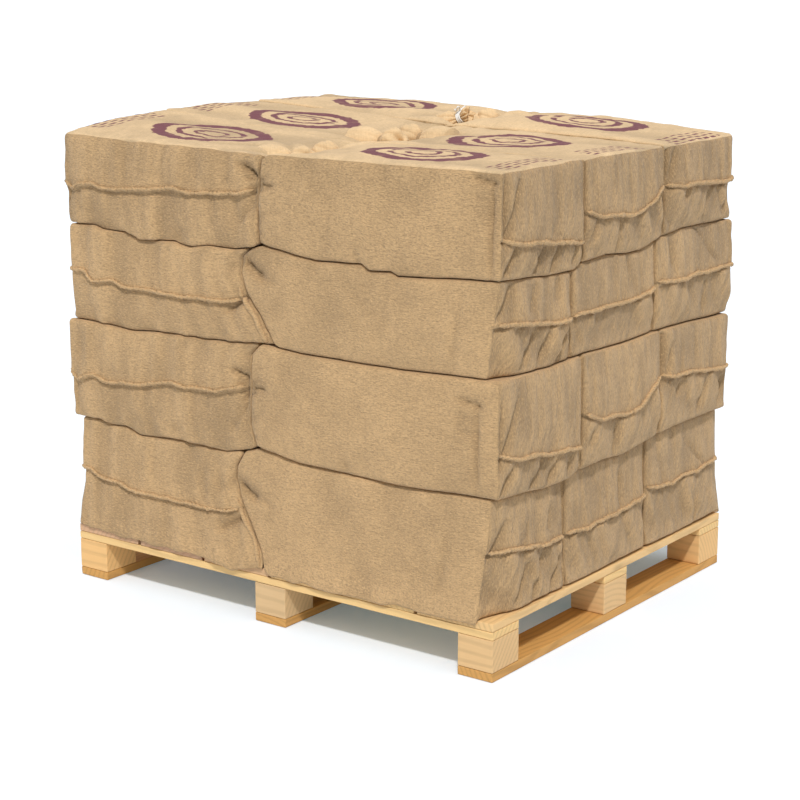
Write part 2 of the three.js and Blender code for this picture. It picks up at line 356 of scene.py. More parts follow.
# How each neck lies: how much deeper than its solid, how much further over, and whether it is
# pressed into a thick roll.
NECKS = {
    "left_back": (0.0, 0.0, False),
    "left_middle": (0.0, 0.30, True),
    "right_middle": (0.0, 0.30, True),
    "left_front": (0.014, 0.30, True),
    "right_front": (0.014, 0.30, True),
    "right_back": (0.012, 0.30, True),
}
PROUD_NECK = "left_back"
# The strings: their turns, the neck's waist under them, and the bow of the neck that stands proud,
# with each loop's side, reach and tilt.
STRING_TURNS = 3
STRING_SIDES = 6
PROUD_WAIST = 0.0125
ROLLED_WAIST = 0.0150
BOW_KNOT = (-0.0155, 0.0, NECK_TIE_HEIGHT)
BOW_LOOPS = ((1, 0.020, 0.35), (-1, 0.017, 0.6))
BOW_LOOP_WIDTH = 0.006
BOW_END_REACH = 0.016

# The weave, and the stencil on the top sacks: half the log end's length and width, and the rows of
# bars by the closed end, with their distance from the sack's middle and their pitch both ways.
WEAVE_PITCH = 0.0023
LOG_HALF_LENGTH = 0.150
LOG_HALF_WIDTH = 0.112
BARS_PLACE = 0.262
BARS_HALF_LENGTH = 0.104
BARS_HALF_WIDTH = 0.031
BAR_PITCH = 0.017
BREAK_PITCH = 0.034

# Timber: the growth rings' pitch, how far their heart lies outside the board, and how far the sawn
# faces stay inside the board's solid.
RING_PITCH = 0.013
HEART_BEYOND = 0.21
BOARD_INSET = 0.0003

# The view: the camera's place, its heading west of north, its tilt and its lens.
CAMERA_PLACE = (2.6544, -3.5924, 1.4754)
CAMERA_HEADING = math.radians(36.538)
CAMERA_TILT = math.radians(13.256)
CAMERA_LENS_MM = 85.94
CAMERA_SIGHT = 100.0
FLOOR_REACH = 80.0
FLOOR_LEVEL = -0.0005
# Light: the way the key light shines, its spread, and the fill light's share from the horizon
# and from straight above.
KEY_DIRECTION = (-0.37, 0.51, -0.78)
KEY_SPREAD = math.radians(4)
HORIZON_SHARE = 0.35
ZENITH_SHARE = 1.33


def smooth(t):
    """An S-shaped step from 0 to 1 as t goes from 0 to 1: three t squared less two t cubed."""
    t = np.clip(t, 0.0, 1.0)
    return t * t * (3 - 2 * t)


def ramp(value, low, high):
    """A smooth step from 0 at low to 1 at high."""
    return smooth((value - low) / (high - low))


def mix(a, b, t):
    """The point a share t of the way from a to b."""
    return a + (b - a) * t


def along_line(line, place):
    """The height at a place of a line given by its points."""
    places, heights = np.transpose(line)
    return np.interp(place, places, heights)


def noise(points, size, seed):
    """Smooth random values from -1 to 1.

    Each corner of a cubic lattice of the given size has a random number, worked out from its
    whole coordinates, and a point blends its eight corners by smooth steps along each axis.
    """
    cell = np.asarray(points, float) / size
    base = np.floor(cell).astype(np.int64)
    share = smooth(cell - base)
    total = np.zeros(len(cell))
    for corner in itertools.product((0, 1), repeat=3):
        at = base + np.array(corner)
        key = (at[:, 0] * 73856093) ^ (at[:, 1] * 19349663) ^ (at[:, 2] * 83492791)
        key = key ^ (seed * 2654435)
        key = (key ^ (key >> 13)) * 1274126177 & 0x7FFFFFFF
        value = (key ^ (key >> 16)) % 65521 / 32760 - 1
        weight = np.prod(np.where(corner, share, 1 - share), axis=1)
        total += weight * value
    return total


def sheet_noise(along, up, size, seed):
    """Smooth random values over a sheet, from two distances on it."""
    return noise(np.stack([along, up, np.zeros_like(along)], axis=1), size, seed)


def graded(low, high, marks, fine, coarse, reach):
    """Places from low to high whose spacing is fine at the marks and coarse away from them.

    The spacing grows smoothly with the distance from the nearest mark until reach, and the
    places are where the sum of one over the spacing passes whole numbers.
    """
    sample = np.linspace(low, high, 2000)
    distance = np.min([np.abs(sample - mark) for mark in marks], axis=0)
    spacing = mix(fine, coarse, smooth(distance / reach))
    count = np.concatenate([[0], np.cumsum(np.diff(sample) / spacing[1:])])
    steps = max(2, math.ceil(count[-1]))
    return np.interp(np.linspace(0, count[-1], steps + 1), count, sample)


def box_grid(lines):
    """The surface of a box cut along three sets of lines.

    Returns the points, each face's four corners facing outwards, and the axis each face crosses.
    A point is any crossing of the lines that has its first or last line in some direction.
    """
    shape = [len(line) for line in lines]
    index = np.indices(shape)
    ends = [(index[axis] == 0) | (index[axis] == shape[axis] - 1) for axis in range(3)]
    surface = ends[0] | ends[1] | ends[2]
    number = np.full(shape, -1)
    number[surface] = np.arange(surface.sum())
    points = np.stack([lines[axis][index[axis][surface]] for axis in range(3)], axis=1)
    quads, axes = [], []
    for axis in range(3):
        for side in (0, -1):
            sheet = np.take(number, side, axis=axis)
            corners = [sheet[:-1, :-1], sheet[1:, :-1], sheet[1:, 1:], sheet[:-1, 1:]]
            # Going round the second and third axes in order faces outwards on +X and +Z, and
            # inwards on +Y, because X and Z come in the other order there.
            outwards = (side == -1) == (axis != 1)
            if not outwards:
                corners.reverse()
            quad = np.stack([c.ravel() for c in corners], axis=1)
            quads.append(quad)
            axes.append(np.full(len(quad), axis))
    return points, np.concatenate(quads), np.concatenate(axes)


def ring_faces(rings, sides):
    """Faces between rings of points that follow one another, and fans to two poles after them."""
    ring = np.arange(sides)
    after = np.roll(ring, -1)
    start = (np.arange(rings - 1) * sides)[:, None]
    quads = np.stack(
        [start + ring, start + after, start + sides + after, start + sides + ring], axis=2
    ).reshape(-1, 4)
    foot_pole, head_pole = rings * sides, rings * sides + 1
    foot = np.stack([after, ring, np.full(sides, foot_pole)], axis=1)
    end = (rings - 1) * sides
    head = np.stack([end + ring, end + after, np.full(sides, head_pole)], axis=1)
    return [quads, foot, head]


def tube(path, radii, sides):
    """A round profile carried along a path, closed at both ends by a pole.

    A ring stands square to the path at each of its points. Rings keep the same turn about the
    path by carrying one side vector along it, less its part along the path.
    """
    path = np.asarray(path, float)
    direction = np.gradient(path, axis=0)
    direction /= np.linalg.norm(direction, axis=1)[:, None]
    reference = np.array([0.31, 0.17, 0.93])
    side = reference - direction * (direction @ reference)[:, None]
    side /= np.linalg.norm(side, axis=1)[:, None]
    other = np.cross(direction, side)
    angle = np.arange(sides) / sides * TAU
    spread = np.broadcast_to(radii, len(path))[:, None, None]
    around = np.cos(angle)[:, None] * side[:, None] + np.sin(angle)[:, None] * other[:, None]
    rings = path[:, None] + spread * around
    points = np.concatenate([rings.reshape(-1, 3), path[:1], path[-1:]])
    return points, ring_faces(len(path), sides)


def pleated_tube(height, spread, angle, lift):
    """Level rings about the Z axis, each point at its own radius and lift, closed by two poles."""
    level = height[:, None] + lift
    rings = np.stack([spread * np.cos(angle), spread * np.sin(angle), level], axis=2)
    poles = [[0, 0, height[0]], [0, 0, height[-1]]]
    points = np.concatenate([rings[:-1].reshape(-1, 3), poles])
    return points, ring_faces(len(height) - 1, len(angle))


# Places of the burlap finishes in a sack's list of materials, and the relief given to its trims,
# which only paints them a little paler, as a painted highlight.
SMOOTH_SLOT = 0
END_SLOT = 1
STITCHED_SLOT = 2
CROWN_SLOT = 3
NECK_SLOT = 4
ROPE_PAINTED_HIGHLIGHT = 0.5
NECK_PAINTED_HIGHLIGHT = 0.2


class Build:
    """Surfaces collected into one mesh: points, faces, the cloth map and a material number.

    Each point also has its relief: how far folds and gathers raise it, in hundredths of a metre.
    """

    def __init__(self):
        self.points, self.faces, self.maps, self.slots, self.reliefs = [], [], [], [], []
        self.count = 0

    def add(self, points, faces, cloth=None, slot=0, relief=0.0):
        """Adds points and arrays of faces. cloth gives each face array's map by corner."""
        self.reliefs.append(np.broadcast_to(relief, len(points)))
        for number, part in enumerate(faces):
            self.faces.append(part + self.count)
            where = points[part][:, :, :2] if cloth is None else cloth[number]
            self.maps.append(where)
            slots = slot if np.ndim(slot) else np.full(len(part), slot)
            self.slots.append(slots)
        self.points.append(points)
        self.count += len(points)

    def make(self, name, materials, number=0):
        """Puts what was collected into a new object at the origin, and its number on each point."""
        mesh = bpy.data.meshes.new(name)
        points = np.concatenate(self.points)
        loops = np.concatenate([part.ravel() for part in self.faces])
        sizes = np.concatenate([np.full(len(part), part.shape[1]) for part in self.faces])
        mesh.vertices.add(len(points))
        mesh.vertices.foreach_set("co", points.astype(np.float32).ravel())
        mesh.loops.add(len(loops))
        mesh.loops.foreach_set("vertex_index", loops.astype(np.int32))
        mesh.polygons.add(len(sizes))
        starts = np.concatenate([[0], np.cumsum(sizes)[:-1]])
        mesh.polygons.foreach_set("loop_start", starts.astype(np.int32))
        mesh.polygons.foreach_set("material_index", np.concatenate(self.slots).astype(np.int32))
        mesh.polygons.foreach_set("use_smooth", np.ones(len(sizes), bool))
        layer = mesh.uv_layers.new(name=CLOTH_UV)
        cloth = np.concatenate([part.reshape(-1, 2) for part in self.maps])
        layer.data.foreach_set("uv", cloth.astype(np.float32).ravel())
        relief = mesh.attributes.new(RELIEF, "FLOAT", "POINT")
        relief.data.foreach_set("value", np.concatenate(self.reliefs).astype(np.float32))
        piece_number = mesh.attributes.new(PIECE, "FLOAT", "POINT")
        piece_number.data.foreach_set("value", np.full(len(points), number, np.float32))
        mesh.update(calc_edges=True)
        for material in materials:
            mesh.materials.append(material)
        piece = bpy.data.objects.new(name, mesh)
        bpy.context.scene.collection.objects.link(piece)
        return piece


def layer_surface(level, x, y):
    """Height of the line between two layers: the lines of the four sides, blended by nearness."""
    sides = (
        (FRONT_LINES[level], x, ramp(-y, 0.30, 0.46)),
        (FRONT_LINES[level], -x, ramp(y, 0.30, 0.46)),
        (RIGHT_LINES[level], y, ramp(x, 0.42, 0.58)),
        (RIGHT_LINES[level], -y, ramp(-x, 0.42, 0.58)),
    )
    rise = sum(weight * along_line(line, place) for line, place, weight in sides)
    total = sum(weight for _, _, weight in sides)
    return LAYER_Z[level] + rise / np.maximum(total, 1.0)


def top_level(x, y):
    """The general level of the top, which rises to the left and over the back row."""
    left = np.clip(-x / HALF_X, 0, 1) ** 1.5
    behind = 1 - np.exp(-np.maximum(0, y + HALF_Y) / BEHIND_DEPTH)
    back = ramp(y, BACK_RISE_START, BACK_RISE_END)
    across = 1 - ((x - BACK_RISE_MIDDLE_X) / BACK_RISE_REACH) ** 2
    return LAYER_Z[4] + (LEFT_RISE + LEFT_RISE_BEHIND * behind) * left + BACK_RISE * back * across


def crown_surface(x, y, u, v):
    """Height of a top sack: a low crown, and a hollow by its neck.

    u and v go from -1 to 1 along and across the sack.
    """
    hollow = np.clip((u - TROUGH_START) / (1 - TROUGH_START), 0, 1) ** 2 * (1 - v**4)
    return top_level(x, y) + CROWN * (1 - u**4) * (1 - v**4) - TROUGH * hollow


def moved(points, matrix):
    """Points carried by a turn and a shift, given as one 4 by 4 matrix."""
    return points @ matrix[:3, :3].T + matrix[:3, 3]


def fold(along, up, start, end, depth, before, after):
    """Depth of a fold: a valley along a segment that levels out on each side at its own rate.

    The depth falls by the exponential of the distance over before or after, and fades out past
    the two ends of the segment.
    """
    step = np.subtract(end, start)
    length = np.hypot(*step)
    share = ((along - start[0]) * step[0] + (up - start[1]) * step[1]) / length**2
    aside = ((along - start[0]) * step[1] - (up - start[1]) * step[0]) / length
    level = np.where(aside < 0, np.exp(aside / before), np.exp(-aside / after))
    fade = ramp(share, -0.25, 0.25) * ramp(1.2 - share, 0, 0.5)
    return depth * level * fade


def folds(along, up, drawn, deepened=1.0, narrowed=1.0):
    """Depth of all the folds that are drawn for a face."""
    total = np.zeros_like(along)
    for start, end, depth, before, after in drawn:
        before, after = narrowed * before, narrowed * after
        total += fold(along, up, start, end, deepened * depth, before, after)
    return total


class Sack:
    """One filled sack of the stack: its place, and its surface as a function of a plain box's."""

    def __init__(self, layer, row, turn):
        self.layer, self.row, self.turn = layer, row, turn
        self.kind = KINDS[layer]
        self.top = layer == TOP
        side = "left" if turn == 1 else "right"
        row_name = ROW_NAMES[row if turn == 1 else 2 - row]
        self.place_name = f"{side}_{row_name}"
        self.node = f"sack_layer{layer + 1}_{self.place_name}"
        self.seed = SEED + layer * 31 + row * 7 + (turn == 1) * 3
        side_y = HALF_Y + SIDE_OUT[layer]
        edges = (-side_y, *ROW_CUTS[layer], side_y)
        self.outer_x = -(HALF_X + END_OUT[layer])
        self.inner_x = float(self.meeting(0.8))
        self.low = np.array([self.outer_x, edges[row], 0.0])
        self.high = np.array([self.inner_x, edges[row + 1], LAYER_Z[layer + 1] - LAYER_Z[layer]])
        self.middle = (self.low + self.high) / 2
        self.half = (self.high - self.low) / 2
        self.height = 2 * self.half[2]

    def meeting(self, t):
        """X where this sack's neck end meets the facing one's, at a share t of the height."""
        return along_line(MEETING_LINES[self.layer], t) * (1 - self.row)

    def radii(self, plain, t):
        """How far each edge's rounding reaches along X, Y and Z, at points of the plain box."""
        u = plain[:, 0] / self.half[0]
        v = plain[:, 1] / self.half[1]
        upper = ramp(t, 0.35, 0.65)
        end = mix(*(TOP_END_EDGE if self.top else END_EDGE), upper)
        neck = mix(*NECK_EDGE, ramp(v, -0.5, 0.5))
        if self.layer == 0:
            neck_foot = neck * LOWEST_FOOT_SHARE
        elif self.kind == PUFFED:
            neck_foot = mix(*PUFFED_FOOT_EDGE, ramp(v, 0.2, 0.8))
        else:
            neck_foot = neck + TUCKED_FOOT_MORE
        neck = mix(neck_foot, neck, upper)
        radius_x = np.where(u < 0, end, neck)
        outside = self.exposed_side(v)
        side = mix(*SIDE_EDGE, upper)
        inner = mix(*(TOP_INNER_EDGE if self.top else INNER_EDGE), upper)
        if self.layer == 0:
            side = mix(LOWEST_SIDE_EDGE, side, upper)
        radius_y = np.where(outside, side, inner)
        if self.top:
            near_end = np.abs(u) - np.abs(v) > 1 - self.half[1] / self.half[0]
            above = np.where(outside | near_end, CROWN_OUTER_EDGE, CROWN_INNER_EDGE)
        else:
            above = HEAD_EDGE
        radius_z = np.where(t < 0.5, LOWEST_FOOT_EDGE if self.layer == 0 else FOOT_EDGE, above)
        return np.stack([radius_x, radius_y, radius_z], axis=1)

    def exposed_side(self, v):
        """Whether a point's nearer long side is on the outside of the stack."""
        return ((v < 0) & (self.row == 0)) | ((v > 0) & (self.row == 2))

    def seam_height(self, x, y, floor, roof, on_end):
        """Height of the seam that runs along the stitched side and across the closed end."""
        along = LAYER_Z[self.layer] + along_line(SIDE_SEAMS[self.layer], x)
        across = self.end_share(y)
        levels = END_SEAMS[self.kind][self.row]
        share = np.interp(across, np.linspace(0, 1, len(levels)), levels)
        end = mix(floor, roof, share)
        if self.row == 0:
            corner = LAYER_Z[self.layer] + SIDE_SEAMS[self.layer][0][1]
            end = mix(corner, end, ramp(y, self.low[1], self.low[1] + 0.05))
        return np.where(on_end, end, along)

    def end_share(self, y):
        """How far across the closed end a point is, from left to right as seen from outside."""
        return (self.high[1] - y) / (2 * self.half[1])

    def surface(self, plain):
        """Carries points of the plain box, centred on the origin, to the sack's surface.

        Rounding: a point is pulled to the box less its edge radii, and pushed out from there by
        those radii along the direction it came from. Then heights are stretched between the
        lines below and above, the neck end follows the meeting line, and the cloth is moved
        along its normal by the bulge, seams, folds, gathers and rumples of its face.
        """
        half = self.half
        t = plain[:, 2] / self.height + 0.5
        radii = self.radii(plain, t)
        core = np.clip(plain, radii - half, half - radii)
        out = (plain - core) / radii
        out /= np.linalg.norm(out, axis=1)[:, None]
        p = core + out * radii
        normal = out / radii
        normal /= np.linalg.norm(normal, axis=1)[:, None]
        u, v = p[:, 0] / half[0], p[:, 1] / half[1]
        t = p[:, 2] / self.height + 0.5

        outer = self.outer_x
        if self.kind == TUCKED and self.row == 2:
            outer = outer + FOOT_IN * (1 - t) * ramp(v, 0.3, 1)
        if self.row == 0:
            drawn = CORNER_OUT[self.layer][0 if self.turn == 1 else 1] * ramp(t, -0.1, 0.3)
            outer = outer - drawn * np.exp((-1 - v) * self.half[1] / CORNER_REACH)
        x = mix(outer, self.meeting(t) - NECK_GAP, (u + 1) / 2)
        y = self.middle[1] + p[:, 1]
        hang = 0.0
        if self.layer == 0:
            x, y, hang = self.sagged(x, y, t)
        floor, roof = self.floor_and_roof(x, y, u, v)
        floor = floor + HALF_SLIT - hang
        roof = roof if self.top else roof - HALF_SLIT
        z = mix(floor, roof, t)
        place = np.stack([x, y, z], axis=1)

        on_end = np.clip(-normal[:, 0], 0, 1)
        on_side = np.clip(-normal[:, 1], 0, 1) * (self.row == 0)
        on_smooth = np.clip(normal[:, 1], 0, 1) * (self.row == 2)
        on_top = np.clip(normal[:, 2], 0, 1) * self.top
        exposed = np.clip(on_end + on_side + on_smooth + on_top, 0, 1)
        from_neck = self.meeting(0.7) - x
        up = (z - floor) / (roof - floor) * self.height
        swell = 1 - np.abs(2 * t - 1) ** 2.4
        bulge = BULGE * swell * ((1 - u**8) * (on_side + on_smooth) + (1 - v**8) * on_end)
        relief = on_end * (self.end_cloth(y, z, up, floor, roof, t) - self.groove(v))
        relief += on_side * self.stitched_cloth(x, y, z, from_neck, up, floor, roof)
        relief += on_smooth * self.smooth_cloth(x, from_neck, up)
        relief += on_top * self.top_cloth(place)
        for number, (depth, size) in enumerate(RUMPLES):
            relief += exposed * depth * noise(place, size, self.seed + number)
        place = place + normal * (bulge + relief)[:, None]
        place[:, :2] *= self.turn
        return place, relief / RELIEF_UNIT

    def floor_and_roof(self, x, y, u, v):
        """Heights of the lines below and above, of which the top layer's is its sack's crown."""
        x, y = self.turn * x, self.turn * y
        floor = layer_surface(self.layer, x, y)
        if self.top:
            return floor, crown_surface(x, y, u, v)
        return floor, layer_surface(self.layer + 1, x, y)

    def sagged(self, x, y, t):
        """The foot of the lowest layer pushed outwards, and its hang over the deck's edge."""
        foot = (1 - np.clip(t, 0, 1)) ** 3
        x = x - END_SAG * foot * np.exp((self.outer_x - x) / SAG_DEPTH)
        if self.row != 1:
            outwards = -1 if self.row == 0 else 1
            face = self.low[1] if self.row == 0 else self.high[1]
            y = y + outwards * SIDE_SAG * foot * np.exp(-np.abs(face - y) / SAG_DEPTH)
        at_front = np.where(y * self.turn < 0, x * self.turn, -x * self.turn)
        waves = 1 + 0.4 * sheet_noise(at_front, 0 * y, 0.035, self.seed + 13)
        past_edge = ramp(np.abs(y) - DECK_EDGE_Y, 0.001, 0.005)
        return x, y, waves * along_line(HANG, at_front) * past_edge

    def groove(self, v):
        """Depth of the groove along an end's upright edges that meet a neighbour."""
        facing = np.abs(v) if self.row == 1 else v if self.row == 0 else -v
        return GROOVE_DEPTH * np.exp((facing - 1) * self.half[1] / GROOVE_REACH)

    def seam_step(self, z, seam, slope, corner):
        """Relief at a seam: the cloth above swells over it, and the cloth below starts recessed.

        Both are low at the stitched corner, where the cloth is drawn out.
        """
        above = z - seam
        below = np.minimum(above, 0)
        swell = SEAM_SWELL * np.exp(-np.maximum(above, 0) / SWELL_REACH)
        recess = -SEAM_RECESS * np.exp(below / RECESS_REACH) - slope * np.exp(below / SLOPE_REACH)
        return mix(recess, swell, ramp(above, -0.004, 0.0)) * (0.25 + 0.75 * corner)

    def end_cloth(self, y, z, up, floor, roof, t):
        """Relief of the closed end: its seam, upright gathers above it and slanted folds below."""
        seam = self.seam_height(0.0, y, floor, roof, True)
        across = self.end_share(y)
        width = 2 * self.half[1]
        below = ramp(seam - z, -0.004, 0.012)
        slanted = across * width + 0.45 * below * up
        from_corner = ramp(1 - across, 0.0, 0.15) if self.row == 0 else 1.0
        relief = self.seam_step(z, seam, END_SLOPE, from_corner)
        for number, (above_seam, below_seam, size) in enumerate(GATHERS):
            drawn_in = sheet_noise(slanted, 0.12 * up, size, self.seed + 2 + number)
            relief += mix(above_seam, below_seam, below) * drawn_in * ramp(t, 0.02, 0.2)
        drawn = END_FOLDS[self.kind][self.row]
        return relief - folds(across * width, up, drawn, END_FOLD_DEPTH, END_FOLD_WIDTH)

    def stitched_cloth(self, x, y, z, from_neck, up, floor, roof):
        """Relief of the stitched long side: its seam, soft upright ribs and its folds."""
        seam = self.seam_height(x, y, floor, roof, False)
        relief = self.seam_step(z, seam, SIDE_SLOPE, ramp(x - self.outer_x, 0.0, 0.05))
        for number, (depth, size) in enumerate(RIBS):
            relief += depth * sheet_noise(x, 0.25 * up, size, self.seed + 4 + number)
        return relief - folds(from_neck, up, SIDE_FOLDS[self.kind])

    def smooth_cloth(self, x, from_neck, up):
        """Relief of the folded long side: a taut panel with broad bands, and its folds."""
        depth, size = BANDS
        bands = depth * sheet_noise(x, 0.4 * up, size, self.seed + 6)
        return bands - folds(from_neck, up, SMOOTH_FOLDS[self.kind])

    def top_cloth(self, place):
        """Relief of the crown: soft lumps of the logs beneath, and pleats that run to the neck."""
        depth, size = LUMPS
        logs = depth * sheet_noise(0.35 * place[:, 0], place[:, 1], size, self.seed + 7)
        across = place[:, 1] - (self.middle[1] - NECK_SIDEWAYS)
        inward = self.inner_x - place[:, 0]
        angle = np.arctan2(across, inward + 0.03)
        distance = np.hypot(across, inward)
        pleats = np.abs(np.sin(HALF_PLEATS * angle + 2 * noise(place, 0.1, self.seed + 8)))
        return logs - PLEAT_DEPTH * np.exp(-distance / PLEAT_REACH) * (1 - pleats) ** 1.4

    def lines(self):
        """The box's lines, close together at the edges that show and at the seam."""
        half = self.half
        hidden = self.row == 1 and not self.top
        ends = [-half[0]] if hidden else [-half[0], half[0]]
        return (
            graded(-half[0], half[0], ends, *(MESH_ALONG_HIDDEN if hidden else MESH_ALONG)),
            graded(-half[1], half[1], [-half[1], half[1]], *MESH_ACROSS),
            graded(-half[2], half[2], [-half[2], -0.02, half[2]], *MESH_UP),
        )

    def seam_path(self):
        """Points of the seam on the plain box: along the stitched side and across the end."""
        half, step = self.half, 0.0028
        across = np.arange(-half[1] + 0.004, half[1] - 0.004, step)
        path = np.stack([np.full_like(across, -half[0]), across, np.zeros_like(across)], axis=1)
        if self.row == 0:
            along = np.arange(half[0] - 0.006, -half[0] + 0.004, -step)
            side = np.stack([along, np.full_like(along, -half[1]), np.zeros_like(along)], axis=1)
            path = np.concatenate([side, path])
        return path

    def seam(self):
        """The rolled, overcast edge of the seam: a lumpy tube that lies on the cloth.

        Its path is the seam's on the plain box, raised a little so that it lies on the swelling
        above the seam, and the cloth's own surface carries it into place.
        """
        path = self.seam_path()
        u, v = path[:, 0] / self.half[0], path[:, 1] / self.half[1]
        x = mix(self.outer_x, self.inner_x, (u + 1) / 2)
        y = self.middle[1] + path[:, 1]
        on_end = path[:, 0] <= -self.half[0]
        floor, roof = self.floor_and_roof(x, y, u, v)
        seam = self.seam_height(x, y, floor, roof, on_end)
        path[:, 2] = ((seam + ROPE_RAISE - floor) / (roof - floor) - 0.5) * self.height
        on_cloth, _ = self.surface(path)
        kernel = np.hanning(9)[1:-1]
        kernel /= kernel.sum()
        longer = np.pad(on_cloth, ((3, 3), (0, 0)), mode="edge")
        centre = np.stack([np.convolve(line, kernel, "valid") for line in longer.T], axis=1)
        away = np.where(on_end[:, None], [-self.turn, 0.0], [0.0, -self.turn])
        outwards = centre[:, :2] / np.linalg.norm(centre[:, :2], axis=1)[:, None]
        centre[:, :2] += ROPE_OUT * mix(away, outwards, 0.2)
        jitter = noise(centre, 0.024, self.seed + 9) + 0.8 * noise(centre, 0.010, self.seed + 10)
        centre[:, 2] += ROPE_WANDER * jitter
        reach = np.concatenate([[0], np.cumsum(np.linalg.norm(np.diff(centre, axis=0), axis=1))])
        overcast = 1 + THREAD_BITE * np.sin(reach / THREAD_PITCH * TAU)
        overcast += ROPE_LUMPS * noise(centre, 0.011, self.seed)
        ends = np.minimum(ramp(reach, -0.002, 0.012), ramp(reach[-1] - reach, -0.002, 0.012))
        radius = np.where(on_end, END_ROPE_RADIUS, SIDE_ROPE_RADIUS)
        return tube(centre, radius * overcast * ends, ROPE_SIDES)

    def hem(self):
        """The cloth's doubled edge, which runs down from the seam at the neck end.

        It is a tube along the corner of the plain box, carried into place by the surface.
        """
        half = self.half
        up = np.linspace(-0.97 * half[2], 0.02, 34)
        path = np.stack([np.full_like(up, half[0] - 0.002), np.full_like(up, -half[1]), up], axis=1)
        centre, _ = self.surface(path)
        share = np.linspace(0, 1, len(up))
        centre[:, 0] -= self.turn * (0.004 + 0.003 * np.sin(9 * share + self.seed))
        centre[:, 1] -= self.turn * 0.002
        width = HEM_WIDTH * (1 + 0.25 * noise(centre, 0.02, self.seed + 12))
        width = width * np.sqrt(ramp(share, -0.02, 0.1) * ramp(1 - share, -0.02, 0.2))
        return tube(centre, width, HEM_SIDES)

    def neck_frame(self):
        """The neck's axes and origin: it leaves the inner end and leans towards the middle."""
        x, y = self.meeting(1.0) - NECK_INSET, self.middle[1] - NECK_SIDEWAYS
        deeper, further, _ = NECKS[self.place_name]
        z = float(top_level(self.turn * x, self.turn * y)) - NECK_SINK - deeper
        turned = Matrix.Rotation(0 if self.turn == 1 else math.pi, 4, "Z")
        lean = Matrix.Rotation(NECK_LEAN + further, 4, "Y")
        leaning = Matrix.Translation(Vector((x, y, z))) @ lean
        return np.array(turned @ leaning)

    def neck(self):
        """The gathered neck: rings of pleats whose radius follows the profile along the axis."""
        rolled = NECKS[self.place_name][2]
        radii, heights = np.transpose(ROLL_PROFILE if rolled else NECK_PROFILE)
        places = np.concatenate([[0], np.cumsum(np.hypot(np.diff(radii), np.diff(heights)))])
        fine = np.linspace(0, places[-1], NECK_RINGS)
        radius = np.interp(fine, places, radii)
        height = np.interp(fine, places, heights)
        angle = np.arange(NECK_SIDES) / NECK_SIDES * TAU
        pleat = np.abs(np.sin(HALF_PLEATS * angle + 0.7 * np.sin(2 * angle + self.seed)))
        depth = (0.3 if rolled else 1) * mix(0.12, 0.34, ramp(height, 0.0, 0.026))
        spread = radius[:, None] * (1 - depth[:, None] * (1 - pleat[None, :]) ** 1.5)
        share = fine / places[-1]
        flare = 0.005 * np.sin(4 * angle + self.seed)[None, :] * ramp(share, 0.6, 0.8)[:, None]
        points, faces = pleated_tube(height, spread, angle, flare)
        return moved(points, self.neck_frame()), faces


class Value:
    """A shader value, with Python's operators standing for the nodes that they add."""

    def __init__(self, shader, socket):
        self.shader, self.socket = shader, socket

    def math(self, operation, *others):
        return self.shader.node("ShaderNodeMath", {"operation": operation}, [self, *others])

    def __add__(self, other):
        return self.math("ADD", other)

    __radd__ = __add__

    def __mul__(self, other):
        return self.math("MULTIPLY", other)

    __rmul__ = __mul__

    def __sub__(self, other):
        return self.math("SUBTRACT", other)

    def __rsub__(self, other):
        return self.shader.node("ShaderNodeMath", {"operation": "SUBTRACT"}, [other, self])

    def __truediv__(self, other):
        return self.math("DIVIDE", other)

    def __pow__(self, other):
        return self.math("POWER", other)

    def sin(self):
        return self.math("SINE")

    def abs(self):
        return self.math("ABSOLUTE")

    def least(self, other):
        return self.math("MINIMUM", other)

    def most(self, other):
        return self.math("MAXIMUM", other)

    def step(self, low, high):
        """A smooth step from 0 where this is low to 1 where it is high."""
        settings = {"interpolation_type": "SMOOTHSTEP"}
        return self.shader.node("ShaderNodeMapRange", settings, [self, low, high, 0.0, 1.0])


def shaded(colour, share):
    """A colour made darker or lighter."""
    return tuple(min(1.0, share * part) for part in colour)


